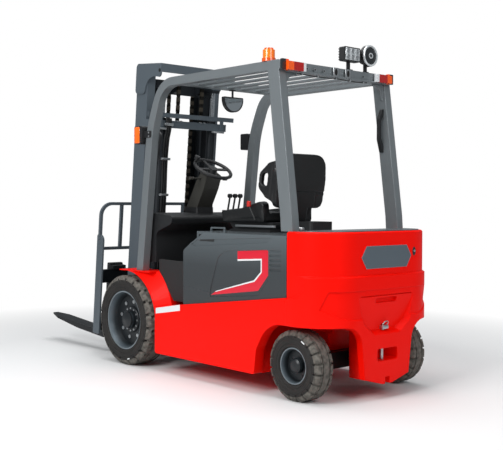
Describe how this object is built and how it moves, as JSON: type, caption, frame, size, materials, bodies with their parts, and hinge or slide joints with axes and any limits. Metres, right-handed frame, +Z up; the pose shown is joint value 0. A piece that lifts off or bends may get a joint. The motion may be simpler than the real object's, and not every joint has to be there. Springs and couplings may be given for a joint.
{
  "type": "electric counterbalance forklift",
  "caption": "Four-wheel electric counterbalance lift truck with a two-stage mast, two forks, load backrest, overhead guard and a rounded rear counterweight.",
  "frame": {"origin": "on the floor, in the middle of the overall box", "axes": "+X forward to the fork tips, +Y to the truck's left, +Z up"},
  "size_m": [3.7161, 1.236, 2.3892],
  "materials": {
    "red_paint": "gloss",
    "grey_paint": "satin",
    "cover_paint": "gloss",
    "black_plastic": "moulded",
    "seat_vinyl": "matt",
    "tyre": "matt",
    "rim_paint": "satin",
    "axle_paint": "satin",
    "fork_steel": "satin",
    "bright_steel": "polished",
    "chain_steel": "oiled",
    "battery_case": "satin",
    "amber_lens": "clear",
    "red_lens": "clear"
  },
  "bodies": {
    "root": {"chassis_frame": "red_paint", "front_fenders": "red_paint", "counterweight": "red_paint", "tow_pin": "bright_steel", "battery": "battery_case", "floor": "cover_paint", "front_cowl": "black_plastic", "side_cover_left": "cover_paint", "side_cover_right": "cover_paint", "steering_column": "black_plastic", "guard_side_left": "grey_paint", "guard_side_right": "grey_paint", "guard_roof": "grey_paint", "beacon": "amber_lens", "rear_lamps": "red_lens", "drive_axle": "axle_paint", "steer_axle": "axle_paint", "rear_deck": "cover_paint", "hand_levers": "black_plastic", "pedals": "black_plastic", "grab_handles": "black_plastic", "work_lamps": "black_plastic", "turn_lamps": "amber_lens", "mirror": "black_plastic"},
    "hood": {"battery_hood": "cover_paint", "seat_base": "black_plastic", "seat_cushion": "seat_vinyl", "seat_back": "seat_vinyl"},
    "steering_wheel": {"steering_wheel": "black_plastic"},
    "front_wheel_left": {"front_tyre_left": "tyre", "front_rim_left": "rim_paint"},
    "front_wheel_right": {"front_tyre_right": "tyre", "front_rim_right": "rim_paint"},
    "knuckle_left": {"knuckle_left": "axle_paint"},
    "knuckle_right": {"knuckle_right": "axle_paint"},
    "rear_wheel_left": {"rear_tyre_left": "tyre", "rear_rim_left": "rim_paint"},
    "rear_wheel_right": {"rear_tyre_right": "tyre", "rear_rim_right": "rim_paint"},
    "outer_mast": {"outer_mast": "grey_paint", "lift_barrel_left": "grey_paint", "lift_barrel_right": "grey_paint", "lift_chains_rear": "chain_steel"},
    "inner_mast": {"inner_mast": "grey_paint", "lift_rod_left": "bright_steel", "lift_rod_right": "bright_steel", "lift_chains_front": "chain_steel"},
    "carriage": {"carriage": "grey_paint", "load_backrest": "grey_paint", "fork_left": "fork_steel", "fork_right": "fork_steel"},
    "tilt_barrel_left": {"tilt_barrel_left": "axle_paint"},
    "tilt_barrel_right": {"tilt_barrel_right": "axle_paint"},
    "tilt_rod_left": {"tilt_rod_left": "bright_steel"},
    "tilt_rod_right": {"tilt_rod_right": "bright_steel"}
  },
  "joints": [
    {"name": "front_wheel_left_spin", "type": "hinge", "parent": "root", "child": "front_wheel_left", "pos_m": [0.29208, 0.51, 0.35], "axis": [0, 1, 0], "continuous": true},
    {"name": "front_wheel_right_spin", "type": "hinge", "parent": "root", "child": "front_wheel_right", "pos_m": [0.29208, -0.51, 0.35], "axis": [0, 1, 0], "continuous": true},
    {"name": "steer_left", "type": "hinge", "parent": "root", "child": "knuckle_left", "pos_m": [-1.52792, 0.345, 0.23], "axis": [0, 0, 1], "range_deg": [-70, 70]},
    {"name": "steer_right", "type": "hinge", "parent": "root", "child": "knuckle_right", "pos_m": [-1.52792, -0.345, 0.23], "axis": [0, 0, 1], "range_deg": [-70, 70]},
    {"name": "rear_wheel_left_spin", "type": "hinge", "parent": "knuckle_left", "child": "rear_wheel_left", "pos_m": [-1.52792, 0.466, 0.23], "axis": [0, 1, 0], "continuous": true},
    {"name": "rear_wheel_right_spin", "type": "hinge", "parent": "knuckle_right", "child": "rear_wheel_right", "pos_m": [-1.52792, -0.466, 0.23], "axis": [0, 1, 0], "continuous": true},
    {"name": "steering_wheel_turn", "type": "hinge", "parent": "root", "child": "steering_wheel", "pos_m": [-0.06092, 0, 1.54], "axis": [-0.5, 0, 0.866], "continuous": true},
    {"name": "hood_hinge", "type": "hinge", "parent": "root", "child": "hood", "pos_m": [-1.45692, 0, 1.023], "axis": [0, -1, 0], "range_deg": [0, 60]},
    {"name": "mast_tilt", "type": "hinge", "parent": "root", "child": "outer_mast", "pos_m": [0.40208, 0, 0.28], "axis": [0, 1, 0], "range_deg": [-7, 11]},
    {"name": "mast_lift", "type": "slide", "parent": "outer_mast", "child": "inner_mast", "axis": [-0.0872, 0, 0.9962], "range_m": [-0.04, 1.5], "deforming": ["lift_chains_rear"]},
    {"name": "carriage_lift", "type": "slide", "parent": "inner_mast", "child": "carriage", "axis": [-0.0872, 0, 0.9962], "range_m": [-0.04, 1.5], "deforming": ["lift_chains_front"]},
    {"name": "tilt_barrel_left_swing", "type": "hinge", "parent": "root", "child": "tilt_barrel_left", "pos_m": [-0.20792, 0.33, 0.62], "axis": [0, 1, 0], "range_deg": [-3, 3]},
    {"name": "tilt_rod_left_slide", "type": "slide", "parent": "tilt_barrel_left", "child": "tilt_rod_left", "axis": [0.9911, 0, 0.1331], "range_m": [-0.06, 0.09]},
    {"name": "tilt_barrel_right_swing", "type": "hinge", "parent": "root", "child": "tilt_barrel_right", "pos_m": [-0.20792, -0.33, 0.62], "axis": [0, 1, 0], "range_deg": [-3, 3]},
    {"name": "tilt_rod_right_slide", "type": "slide", "parent": "tilt_barrel_right", "child": "tilt_rod_right", "axis": [0.9911, 0, 0.1331], "range_m": [-0.06, 0.09]}
  ],
  "couplings": [
    {"joint": "steer_right", "follows": "steer_left", "ratio": 1},
    {"joint": "carriage_lift", "follows": "mast_lift", "ratio": 1},
    {"joint": "tilt_barrel_left_swing", "follows": "mast_tilt", "ratio": 0.09573},
    {"joint": "tilt_rod_left_slide", "follows": "mast_tilt", "m_per_rad": 0.41513},
    {"joint": "tilt_barrel_right_swing", "follows": "mast_tilt", "ratio": 0.09573},
    {"joint": "tilt_rod_right_slide", "follows": "mast_tilt", "m_per_rad": 0.41513}
  ]
}
